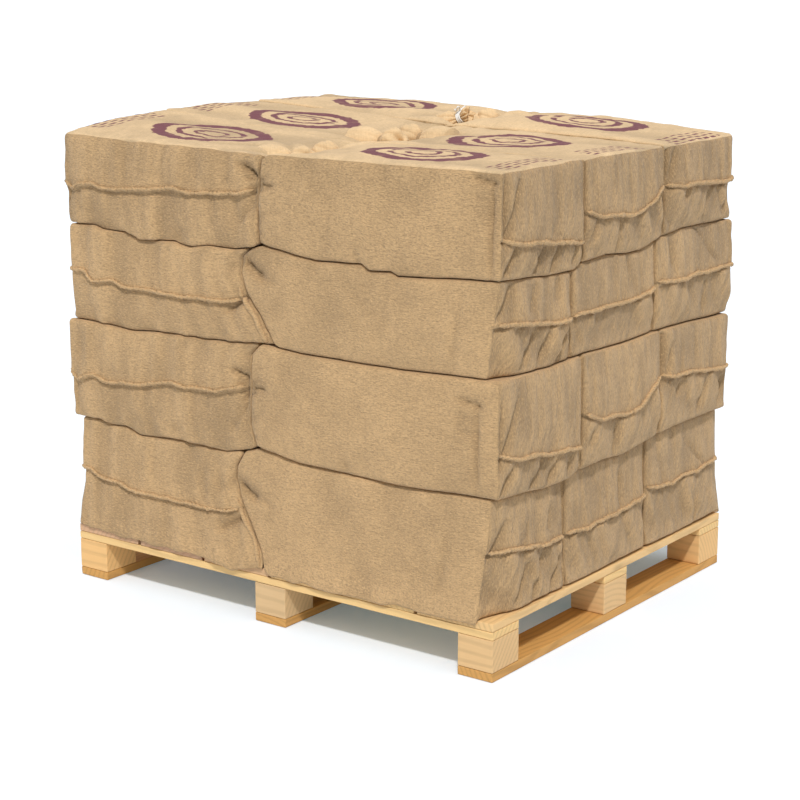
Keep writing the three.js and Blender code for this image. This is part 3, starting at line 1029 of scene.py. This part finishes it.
class Shader:
    """The nodes of a material, or of the world, under construction."""

    def __init__(self, owner):
        owner.use_nodes = True
        self.owner, self.tree = owner, owner.node_tree
        self.tree.nodes.clear()

    def node(self, kind, settings=None, inputs=(), output=0):
        """Adds a node, sets its settings, fills its sockets and returns one of its outputs.

        inputs is a list in socket order, or a dictionary by socket name or number.
        """
        node = self.tree.nodes.new(kind)
        for key, value in (settings or {}).items():
            setattr(node, key, value)
        pairs = inputs.items() if isinstance(inputs, dict) else enumerate(inputs)
        for key, value in pairs:
            socket = node.inputs[key]
            if isinstance(value, Value):
                self.tree.links.new(value.socket, socket)
            elif np.ndim(value) == 1 and socket.type == "RGBA":
                socket.default_value = (*value[:3], 1)
            else:
                socket.default_value = value
        return Value(self, node.outputs[output]) if node.outputs else None

    def object_place(self):
        """The point's Object coordinates, as one vector and as three values."""
        place = self.node("ShaderNodeTexCoord", output="Object")
        return place, self.split(place)

    def cloth_map(self):
        """The place on the cloth, as three values of which the last is nought."""
        return self.split(self.node("ShaderNodeUVMap", {"uv_map": CLOTH_UV}))

    def attribute(self, name):
        """A number kept on the mesh's points."""
        return self.node("ShaderNodeAttribute", {"attribute_name": name}, output="Fac")

    def split(self, vector):
        separate = self.node("ShaderNodeSeparateXYZ", inputs=[vector])
        outputs = separate.socket.node.outputs
        return [Value(self, socket) for socket in outputs]

    def vector(self, x, y, z):
        return self.node("ShaderNodeCombineXYZ", inputs=[x, y, z])

    def noise(self, place, scale, detail=2.0, roughness=0.5, distortion=0.0):
        settings = {"noise_dimensions": "3D"}
        inputs = {"Vector": place, "Scale": scale, "Detail": detail, "Roughness": roughness,
                  "Distortion": distortion}
        return self.node("ShaderNodeTexNoise", settings, inputs)

    def blend(self, share, first, second):
        """Mixes two colours."""
        inputs = {0: share, 6: first, 7: second}
        return self.node("ShaderNodeMix", {"data_type": "RGBA"}, inputs, output=2)

    def finish(self, colour, roughness, height, sheen=0.0, painted_glow=(0, 0, 0)):
        """Closes the material: a Principled surface with a bump whose height is in metres."""
        inputs = {"Strength": 1.0, "Distance": 1.0, "Height": height}
        bump = self.node("ShaderNodeBump", inputs=inputs)
        inputs = {"Base Color": colour, "Roughness": roughness, "Normal": bump,
                  "Sheen Weight": sheen, "Specular IOR Level": 0.25}
        # A glow is painted light: an emission from a surface that is no lamp.
        if any(painted_glow):
            inputs.update({"Emission Color": painted_glow, "Emission Strength": 1.0})
        surface = self.node("ShaderNodeBsdfPrincipled", inputs=inputs)
        self.node("ShaderNodeOutputMaterial", inputs=[surface])
        return self.owner


def log_print(u, v, ragged):
    """A mask of stencil ink: a log's end with growth rings, and plain bars by the closed end.

    u and v are metres from the middle of the sack. The log end is an ellipse, and its rings
    are bands of the distance from its centre.
    """
    across = u / LOG_HALF_LENGTH
    along = v / LOG_HALF_WIDTH
    distance = (across * across + along * along) ** 0.5 + (ragged - 0.5) * 0.16
    outline = distance.step(0.74, 0.765) * (1 - distance.step(0.985, 1.01))
    ring = distance.step(0.47, 0.49) * (1 - distance.step(0.575, 0.595))
    heart = distance.step(0.20, 0.215) * (1 - distance.step(0.295, 0.31))
    crack = (1 - (along - across * 0.22).abs().step(0.035, 0.05)) * across.step(0.0, 0.02)
    rings = ring.most(heart) * (1 - crack)
    bars_u = u + BARS_PLACE
    bar = 1 - (bars_u / BAR_PITCH * TAU).sin().step(-0.35, -0.15)
    broken = (v / BREAK_PITCH * TAU + (u * 37.0).sin() * 3.0).sin().step(-0.55, -0.45)
    rows = 1 - bars_u.abs().step(BARS_HALF_WIDTH, BARS_HALF_WIDTH + 0.002)
    reach = 1 - v.abs().step(BARS_HALF_LENGTH, BARS_HALF_LENGTH + 0.003)
    return outline.most(rings).most(bar * broken * rows * reach)


def burlap(name, cloth, gathers=0.0, ribs=0.0, ink=None, crumpled=1.0):
    """Burlap: an open weave with slubs, crumpled along the map's first direction.

    gathers draws it together in narrow folds along that direction, slanted below the seam, with
    painted shade in their valleys, and ribs in soft ones across it, with painted shade and
    highlight.
    crumpled scales the height of the crumples and their painted shade and highlight, and those of
    the grains.
    """
    s = Shader(bpy.data.materials.new(name))
    u, v, _ = s.cloth_map()
    place, (_, _, z) = s.object_place()
    relief = s.attribute(RELIEF)
    piece = s.attribute(PIECE)
    # The threads: their tone from patch to patch, and the slubs both ways.
    broad = s.noise(place, 4.5, 3.0)
    patches = s.noise(place, 26.0, 4.0, 0.6)
    slubs = s.noise(s.vector(u * 40.0, v * 330.0, piece), 1.0, 3.0, 0.6)
    cross_slubs = s.noise(s.vector(u * 330.0, v * 30.0, piece), 1.0, 3.0, 0.6)
    # The crumples, the grains on them, and the weave.
    crumple = s.noise(s.vector(u * 75.0, v * 190.0, piece), 1.0, 3.0, 0.6, 0.8)
    grains = s.noise(s.vector(u * 150.0, v * 500.0, piece), 1.0, 3.0, 0.6, 0.5)
    weave = (v / WEAVE_PITCH * TAU).sin() * (u / WEAVE_PITCH * TAU).sin()
    tone = broad * 0.30 + patches * 0.22 + slubs * 0.24 + cross_slubs * 0.24
    colour = s.blend(tone.step(0.36, 0.64), shaded(cloth, 0.82), shaded(cloth, 1.18))
    # Painted shade darkens the folds' valleys and a painted highlight makes their crests paler;
    # deep folds and grooves get a darker painted shade.
    raised = relief.step(-0.65, 0.65)
    colour = s.blend((0.5 - raised).most(0.0) * 0.9, colour, shaded(cloth, 0.48))
    colour = s.blend((raised - 0.5).most(0.0) * 0.6, colour, shaded(cloth, 1.24))
    deep = 1 - relief.step(-2.0, -0.7)
    colour = s.blend(deep * 0.8, colour, shaded(cloth, 0.30))
    height = crumple * 0.0034 + grains * 0.0018 + slubs * 0.0006 + cross_slubs * 0.0005
    height = (height + weave * 0.00010) * crumpled
    if gathers:
        slant = v + u.least(0.0) * 0.42
        narrow = s.noise(s.vector(u * 9.0, slant * 52.0, piece), 1.0, 2.0, 0.5, 0.3)
        wide = s.noise(s.vector(u * 6.0, slant * 21.0, piece + 3.0), 1.0, 2.0, 0.5, 0.3)
        drawn = narrow * 0.45 + wide * 0.55
        # Painted shade in the gathers' valleys.
        colour = s.blend((1 - drawn.step(0.36, 0.54)) * 0.54 * gathers, colour, shaded(cloth, 0.52))
        height = height + drawn * (0.014 * gathers)
    if ribs:
        narrow = s.noise(s.vector(u * 38.0, v * 5.0, piece), 1.0, 2.0, 0.5, 0.2)
        wide = s.noise(s.vector(u * 15.0, v * 3.0, piece + 3.0), 1.0, 1.0, 0.5, 0.2)
        drawn = narrow * 0.45 + wide * 0.55
        # Painted shade in the ribs' valleys and a painted highlight on their crests.
        colour = s.blend((1 - drawn.step(0.36, 0.56)) * 0.52 * ribs, colour, shaded(cloth, 0.60))
        colour = s.blend(drawn.step(0.50, 0.66) * 0.20 * ribs, colour, shaded(cloth, 1.20))
        height = height + drawn * (0.009 * ribs)
    # Painted shade in the valleys of the crumples and the grains, and a painted highlight on the
    # grains' crests.
    valley = (1 - crumple.step(0.36, 0.50)) * (0.42 * crumpled)
    colour = s.blend(valley, colour, shaded(cloth, 0.60))
    colour = s.blend((1 - grains.step(0.34, 0.50)) * (0.50 * crumpled), colour, shaded(cloth, 0.50))
    colour = s.blend(grains.step(0.50, 0.66) * (0.50 * crumpled), colour, shaded(cloth, 1.38))
    # Painted light: the cloth below the top layer is painted a little paler.
    painted_lower_light = (1 - z.step(0.80, 0.88)) * 0.06
    colour = s.blend(painted_lower_light, colour, shaded(cloth, 1.75))
    if ink is not None:
        mask = log_print(u, v, ragged=s.noise(place, 55.0, 2.0))
        wear = patches.step(0.28, 0.5) * 0.22 + 0.76
        colour = s.blend(mask * wear, colour, ink)
    return s.finish(colour, 0.92, height, sheen=0.12)


def timber(name, light, dark, grain_axis, knots, warm):
    """Sawn softwood: growth rings round a heart outside the board, stretched along the grain.

    Each board's own number sets how far its colour goes towards the warm one.
    """
    s = Shader(bpy.data.materials.new(name))
    place, (x, y, second) = s.object_place()
    length, first = (x, y) if grain_axis == "X" else (y, x)
    drift = s.noise(s.vector(first * 2.0, second * 2.0, length * 1.2), 1.6, 2.0)
    first = first + drift * 0.10
    above_heart = second + HEART_BEYOND
    distance = (first * first + above_heart * above_heart) ** 0.5
    rings = (distance / RING_PITCH * TAU + drift * 9.0).sin() * 0.5 + 0.5
    late = rings.step(0.35, 1.05)
    fibres = s.noise(s.vector(first * 260.0, second * 260.0, length * 9.0), 1.0, 3.0, 0.6)
    stain = s.noise(place, 9.0, 3.0)
    share = late * 0.26 + fibres * 0.34 + stain * 0.34
    warmth = s.attribute(PIECE)
    early = s.blend(warmth, light, warm)
    colour = s.blend(share.step(0.2, 1.0), early, s.blend(warmth, dark, shaded(warm, 0.7)))
    if knots:
        cells = s.vector(first * 9.0, second * 9.0, length * 3.2)
        from_centre = s.node("ShaderNodeTexVoronoi", inputs={"Vector": cells, "Scale": 1.0})
        knot = 1 - from_centre.step(0.05, 0.13)
        colour = s.blend(knot * knots, colour, shaded(dark, 0.35))
    height = fibres * 0.0005 - late * 0.0002
    return s.finish(colour, 0.68, height)


def string_cloth(name, colour):
    """Twisted string: strands that wind round it along its map."""
    s = Shader(bpy.data.materials.new(name))
    u, v, _ = s.cloth_map()
    place, _ = s.object_place()
    strands = (u * 900.0 + v * 2000.0).sin()
    fuzz = s.noise(place, 900.0, 2.0)
    shade = s.blend(fuzz * 0.5, colour, shaded(colour, 0.72))
    return s.finish(shade, 0.85, strands * 0.0002 + fuzz * 0.0003)


def floor_finish(name, colour, painted_glow):
    """A pale matt floor with the faintest mottling, and a faint painted glow that lifts the shadows
    on it.
    """
    s = Shader(bpy.data.materials.new(name))
    place, _ = s.object_place()
    mottle = s.noise(place, 3.0, 2.0)
    shade = s.blend(mottle * 0.04, colour, shaded(colour, 0.9))
    return s.finish(shade, 0.9, mottle * 0.00005, painted_glow=painted_glow)


def colour_setting(name, description, default):
    """A setting that holds a colour."""
    return FloatVectorProperty(
        name=name, description=description, subtype="COLOR", size=3, default=default, min=0, max=1)


class ClothSettings(bpy.types.PropertyGroup):
    """Colours of the sacks and their strings."""

    burlap: colour_setting("Burlap", "Colour of the sacks' cloth", (0.511, 0.328, 0.161))
    # The top's cloth is painted paler than the sides', as painted light from above.
    lit_top: colour_setting(
        "Bleached burlap", "Colour of the cloth on top, paler from the sun", (0.67, 0.475, 0.268))
    ink: colour_setting("Ink", "Colour of the stencil on the top sacks", (0.17, 0.045, 0.062))
    string: colour_setting(
        "String", "Colour of the string of the neck that stands proud", (0.93, 0.92, 0.89))
    jute: colour_setting("Jute", "Colour of the other necks' strings", (0.50, 0.34, 0.19))
    string_radius: FloatProperty(
        name="String radius", description="Half the thickness of a string", subtype="DISTANCE",
        unit="LENGTH", default=0.0021, min=0.0005, max=0.004)
    fill: FloatProperty(
        name="Fill", description="How tightly a sack is filled", subtype="FACTOR",
        default=0.95, min=0, max=1)


class TimberSettings(bpy.types.PropertyGroup):
    """Colours and finish of the pallet's boards and blocks."""

    runner: colour_setting("Runners", "Colour of the runners on the floor", (0.62, 0.33, 0.10))
    block: colour_setting("Blocks", "Colour of the blocks", (0.68, 0.46, 0.24))
    warm_block: colour_setting("Warm blocks", "Colour of the warmest block", (0.84, 0.50, 0.20))
    stringer: colour_setting(
        "Stringers", "Colour of the boards along the wide side", (0.83, 0.55, 0.24))
    deck: colour_setting("Deck", "Colour of the warmest deck board", (0.62, 0.37, 0.22))
    edge: FloatProperty(
        name="Edge radius", description="Rounding of the boards' worn edges", subtype="DISTANCE",
        unit="LENGTH", default=0.0016, min=0.0002, max=0.005)


class StageSettings(bpy.types.PropertyGroup):
    """Light and floor."""

    floor: colour_setting("Floor", "Colour of the floor", (0.865, 0.90, 0.95))
    # Painted light: the floor's faint glow lifts the shadows on it.
    painted_glow: colour_setting(
        "Glow", "Faint light that comes up through the floor", (0.045, 0.085, 0.110))
    sun: FloatProperty(
        name="Key light", description="Strength of the key light", default=2.12, min=0, max=20)
    sky: FloatProperty(
        name="Fill light", description="Strength of the light from all round", default=0.70,
        min=0, max=5)


def carry(piece, slot, *nodes):
    """Fixes a piece to the stack in place of its solids."""
    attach(piece, "root")
    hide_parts(*nodes)


def all_sacks():
    """Every sack of the stack, with the left half's first."""
    return [Sack(layer, row, turn) for turn in (1, -1) for layer in range(4) for row in range(3)]


class FIREWOOD_OT_fill_sacks(bpy.types.Operator):
    """Makes the filled sacks, with their seams and the necks of the top layer"""

    bl_idname = "firewood.fill_sacks"
    bl_label = "Fill Sacks"

    def execute(self, context):
        cloth = context.scene.firewood_cloth
        colour = tuple(cloth.burlap)
        finishes = [
            burlap("burlap_smooth", colour),
            # The ends are painted darker than the long sides, as painted shade.
            burlap("burlap_gathered", shaded(colour, 0.92), gathers=1.0),
            burlap("burlap_ribbed", colour, ribs=1.0),
            # The crown and the necks take the top's colour, painted paler as painted light.
            burlap("burlap_stencilled", tuple(cloth.lit_top), ink=tuple(cloth.ink), crumpled=0.45),
            burlap("burlap_bleached", tuple(cloth.lit_top), crumpled=0.2),
        ]
        for sack in all_sacks():
            self.make(sack, finishes, cloth.fill)
        return {"FINISHED"}

    def make(self, sack, finishes, fill):
        box_points, quads, axes = box_grid(sack.lines())
        build = Build()
        points, relief = sack.surface(box_points)
        # The map's first direction lies along the crumples: level on the long sides and the top,
        # upright on the ends.
        first = np.array([2, 0, 0])[axes][:, None]
        second = np.array([1, 2, 1])[axes][:, None]
        corners = box_points[quads]
        rows, columns = np.indices(corners.shape[:2])
        cloth = np.stack([corners[rows, columns, first], corners[rows, columns, second]], axis=2)
        centre = corners.mean(axis=1)
        stitched = (axes == 1) & (centre[:, 1] < 0) & (sack.row == 0)
        on_crown = (axes == 2) & (centre[:, 2] > 0) & sack.top
        slots = np.select([axes == 0, stitched, on_crown], [END_SLOT, STITCHED_SLOT, CROWN_SLOT],
                          SMOOTH_SLOT)
        build.add(points, [quads], [cloth], slots, relief)
        # The trims' set relief paints a highlight on them.
        trims = [(sack.seam(), SMOOTH_SLOT, ROPE_PAINTED_HIGHLIGHT)]
        if sack.kind == TUCKED and sack.row == 0:
            trims.append((sack.hem(), SMOOTH_SLOT, 0.0))
        if sack.top:
            trims.append((sack.neck(), NECK_SLOT, NECK_PAINTED_HIGHLIGHT))
        for (points, faces), slot, relief in trims:
            build.add(points, faces, [self.wound(points, part) for part in faces], slot, relief)
        piece = build.make(sack.node.replace("sack_", "burlap_sack_"), finishes, sack.seed)
        carry(piece, "burlap", sack.node)

    def wound(self, points, faces):
        """A map for cords and necks, from places along the floor and up."""
        corners = points[faces]
        return np.stack([corners[:, :, 0] + corners[:, :, 1], corners[:, :, 2]], axis=2)


class FIREWOOD_OT_tie_necks(bpy.types.Operator):
    """Winds a string round each neck of the top layer, with a bow on the one that stands proud"""

    bl_idname = "firewood.tie_necks"
    bl_label = "Tie Necks"

    def execute(self, context):
        cloth = context.scene.firewood_cloth
        white = string_cloth("white_string", tuple(cloth.string))
        jute = string_cloth("jute_string", tuple(cloth.jute))
        radius = cloth.string_radius
        for sack in all_sacks():
            if sack.top and sack.place_name == PROUD_NECK:
                paths = [self.winding(radius, PROUD_WAIST), *self.bow(sack.seed)]
                self.make(sack, white, radius, paths)
            elif sack.top:
                self.make(sack, jute, radius, [self.winding(radius, ROLLED_WAIST)])
        return {"FINISHED"}

    def make(self, sack, finish, radius, paths):
        """One string: a round tube along each of its paths, set on the neck."""
        matrix = sack.neck_frame()
        build = Build()
        for path in paths:
            points, faces = tube(path, radius, STRING_SIDES)
            build.add(moved(points, matrix), faces)
        piece = build.make(f"string_{sack.place_name}", [finish])
        carry(piece, "tie_string", f"neck_tie_{sack.place_name}")

    def winding(self, radius, waist):
        """Turns of a helix round the waist of the neck, side by side."""
        turn = np.linspace(0, STRING_TURNS * TAU, 32 * STRING_TURNS)
        ring = waist + radius
        height = NECK_TIE_HEIGHT + (turn / TAU - STRING_TURNS / 2) * 2.1 * radius
        return np.stack([ring * np.cos(turn), ring * np.sin(turn), height], axis=1)

    def bow(self, seed):
        """Two loops and two loose ends from the knot: tilted ellipses and shallow parabolas."""
        share = np.linspace(0, 1, 28)
        swing = share * TAU
        paths = []
        for side, reach, tilt in BOW_LOOPS:
            out = reach * (1 - np.cos(swing)) / 2
            wide = BOW_LOOP_WIDTH * np.sin(swing)
            loop = [-0.5 * out - wide * tilt, side * out, wide + tilt * out]
            wander = 0.004 * np.sin(share * 5 + seed) - 0.006 * share
            dip = 0.014 * share**2 - 0.012 * share
            loose_end = [wander, side * BOW_END_REACH * share, dip]
            paths += [np.transpose(loop) + BOW_KNOT, np.transpose(loose_end) + BOW_KNOT]
        return paths


class FIREWOOD_OT_build_pallet(bpy.types.Operator):
    """Makes the pallet's runners, blocks, stringers and deck boards"""

    bl_idname = "firewood.build_pallet"
    bl_label = "Build Pallet"

    def execute(self, context):
        wood = context.scene.firewood_timber
        # Colour, how dark the late wood is, the axis of the grain, how plain the knots are, and the
        # colour of the warmest board.
        looks = {
            "runner": (wood.runner, 0.62, "Y", 0.5, wood.runner),
            "block": (wood.block, 0.74, "X", 0.0, wood.warm_block),
            "stringer": (wood.stringer, 0.66, "X", 0.6, wood.stringer),
            "deck": (wood.stringer, 0.66, "Y", 0.4, wood.deck),
        }
        finishes = {}
        for kind, (light, late, axis, knots, warm) in looks.items():
            dark = shaded(light, late)
            finishes[kind] = timber(f"{kind}_timber", tuple(light), dark, axis, knots, tuple(warm))
        for number, node in enumerate(sorted(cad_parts)):
            kind = node.split("_")[0]
            if kind in finishes:
                piece = self.make(node, finishes[kind], wood.edge, SEED + 5 * number)
                carry(piece, f"{kind}_wood", node)
        return {"FINISHED"}

    def make(self, node, finish, edge, seed):
        """A sawn board: a box whose edges are rounded, with faint waves and chipped corners.

        A point is pulled to the box less the edge radius and pushed out by it, and the radius
        grows where a coarse noise says that the edge is worn.
        """
        low, high = (np.array(corner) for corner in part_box(node))
        half, middle = (high - low) / 2, (high + low) / 2
        lines = [
            graded(-h, h, [-h, h], edge * 0.8, 0.012 if h < 0.06 else 0.03, 0.02) for h in half
        ]
        plain, quads, _ = box_grid(lines)
        worn = edge * (1 + 1.2 * np.clip(noise(plain + middle, 0.045, seed), 0, 1) ** 2)[:, None]
        core = np.clip(plain, worn - half, half - worn)
        out = plain - core
        out /= np.linalg.norm(out, axis=1)[:, None]
        wave = 0.00035 * noise(plain + middle, 0.06, seed + 1)
        points = middle + core + out * (worn - BOARD_INSET + np.minimum(wave, 0)[:, None])
        build = Build()
        build.add(points, [quads])
        return build.make(f"sawn_{node}", [finish], WARMTH.get(node, USUAL_WARMTH))


class FIREWOOD_OT_set_stage(bpy.types.Operator):
    """Sets the camera, the pale floor and the soft light"""

    bl_idname = "firewood.set_stage"
    bl_label = "Set Stage"

    def execute(self, context):
        stage = context.scene.firewood_stage
        self.camera(context.scene)
        self.floor(tuple(stage.floor), tuple(stage.painted_glow))
        self.lights(context.scene, stage)
        return {"FINISHED"}

    def camera(self, scene):
        data = bpy.data.cameras.new("camera")
        data.lens = CAMERA_LENS_MM
        data.clip_end = CAMERA_SIGHT
        camera = bpy.data.objects.new("camera", data)
        turned = Matrix.Rotation(CAMERA_HEADING, 4, "Z")
        raised = Matrix.Rotation(math.radians(90) - CAMERA_TILT, 4, "X")
        camera.matrix_world = Matrix.Translation(CAMERA_PLACE) @ turned @ raised
        scene.collection.objects.link(camera)
        scene.camera = camera

    def floor(self, colour, painted_glow):
        """A flat square well past what the camera sees."""
        mesh = bpy.data.meshes.new("floor")
        corners = [(x * FLOOR_REACH, y * FLOOR_REACH, FLOOR_LEVEL)
                   for x, y in ((-1, -1), (1, -1), (1, 1), (-1, 1))]
        mesh.from_pydata(corners, [], [(0, 1, 2, 3)])
        mesh.materials.append(floor_finish("floor", colour, painted_glow))
        floor = bpy.data.objects.new("floor", mesh)
        bpy.context.scene.collection.objects.link(floor)

    def lights(self, scene, stage):
        data = bpy.data.lights.new("key", "SUN")
        data.energy = stage.sun
        data.angle = KEY_SPREAD
        key = bpy.data.objects.new("key", data)
        key.rotation_euler = Vector(KEY_DIRECTION).to_track_quat("-Z", "Y").to_euler()
        scene.collection.objects.link(key)
        scene.world = self.sky(stage.sky)
        scene.view_settings.view_transform = "Standard"

    def sky(self, strength):
        """White light from all round, strongest from straight above."""
        s = Shader(bpy.data.worlds.new("studio"))
        _, _, height = s.split(s.node("ShaderNodeTexCoord", output="Generated"))
        shares = (HORIZON_SHARE * strength, ZENITH_SHARE * strength)
        level = s.node("ShaderNodeMapRange", inputs=[height, 0.0, 1.0, *shares])
        background = s.node("ShaderNodeBackground", inputs=[(1, 1, 1), level])
        s.node("ShaderNodeOutputWorld", inputs=[background])
        return s.owner


class FIREWOOD_PT_panel(bpy.types.Panel):
    """Lists the steps in the sidebar"""

    bl_idname = "FIREWOOD_PT_panel"
    bl_label = "Firewood"
    bl_space_type = "VIEW_3D"
    bl_region_type = "UI"
    bl_category = "Firewood"

    def draw(self, context):
        groups = (context.scene.firewood_cloth, context.scene.firewood_timber,
                  context.scene.firewood_stage)
        for group in groups:
            for name in group.__annotations__:
                self.layout.prop(group, name)
        for operator in OPERATORS:
            self.layout.operator(operator.bl_idname)


SETTINGS = (
    ("firewood_cloth", ClothSettings),
    ("firewood_timber", TimberSettings),
    ("firewood_stage", StageSettings),
)
OPERATORS = (
    FIREWOOD_OT_set_stage,
    FIREWOOD_OT_fill_sacks,
    FIREWOOD_OT_tie_necks,
    FIREWOOD_OT_build_pallet,
)


def register():
    for name, group in SETTINGS:
        bpy.utils.register_class(group)
        setattr(bpy.types.Scene, name, PointerProperty(type=group))
    for operator in OPERATORS:
        bpy.utils.register_class(operator)
    bpy.utils.register_class(FIREWOOD_PT_panel)


def unregister():
    bpy.utils.unregister_class(FIREWOOD_PT_panel)
    for operator in reversed(OPERATORS):
        bpy.utils.unregister_class(operator)
    for name, group in reversed(SETTINGS):
        delattr(bpy.types.Scene, name)
        bpy.utils.unregister_class(group)


def main():
    register()
    bpy.ops.firewood.set_stage()
    bpy.ops.firewood.fill_sacks()
    bpy.ops.firewood.tie_necks()
    bpy.ops.firewood.build_pallet()


if __name__ == "__main__":
    main()
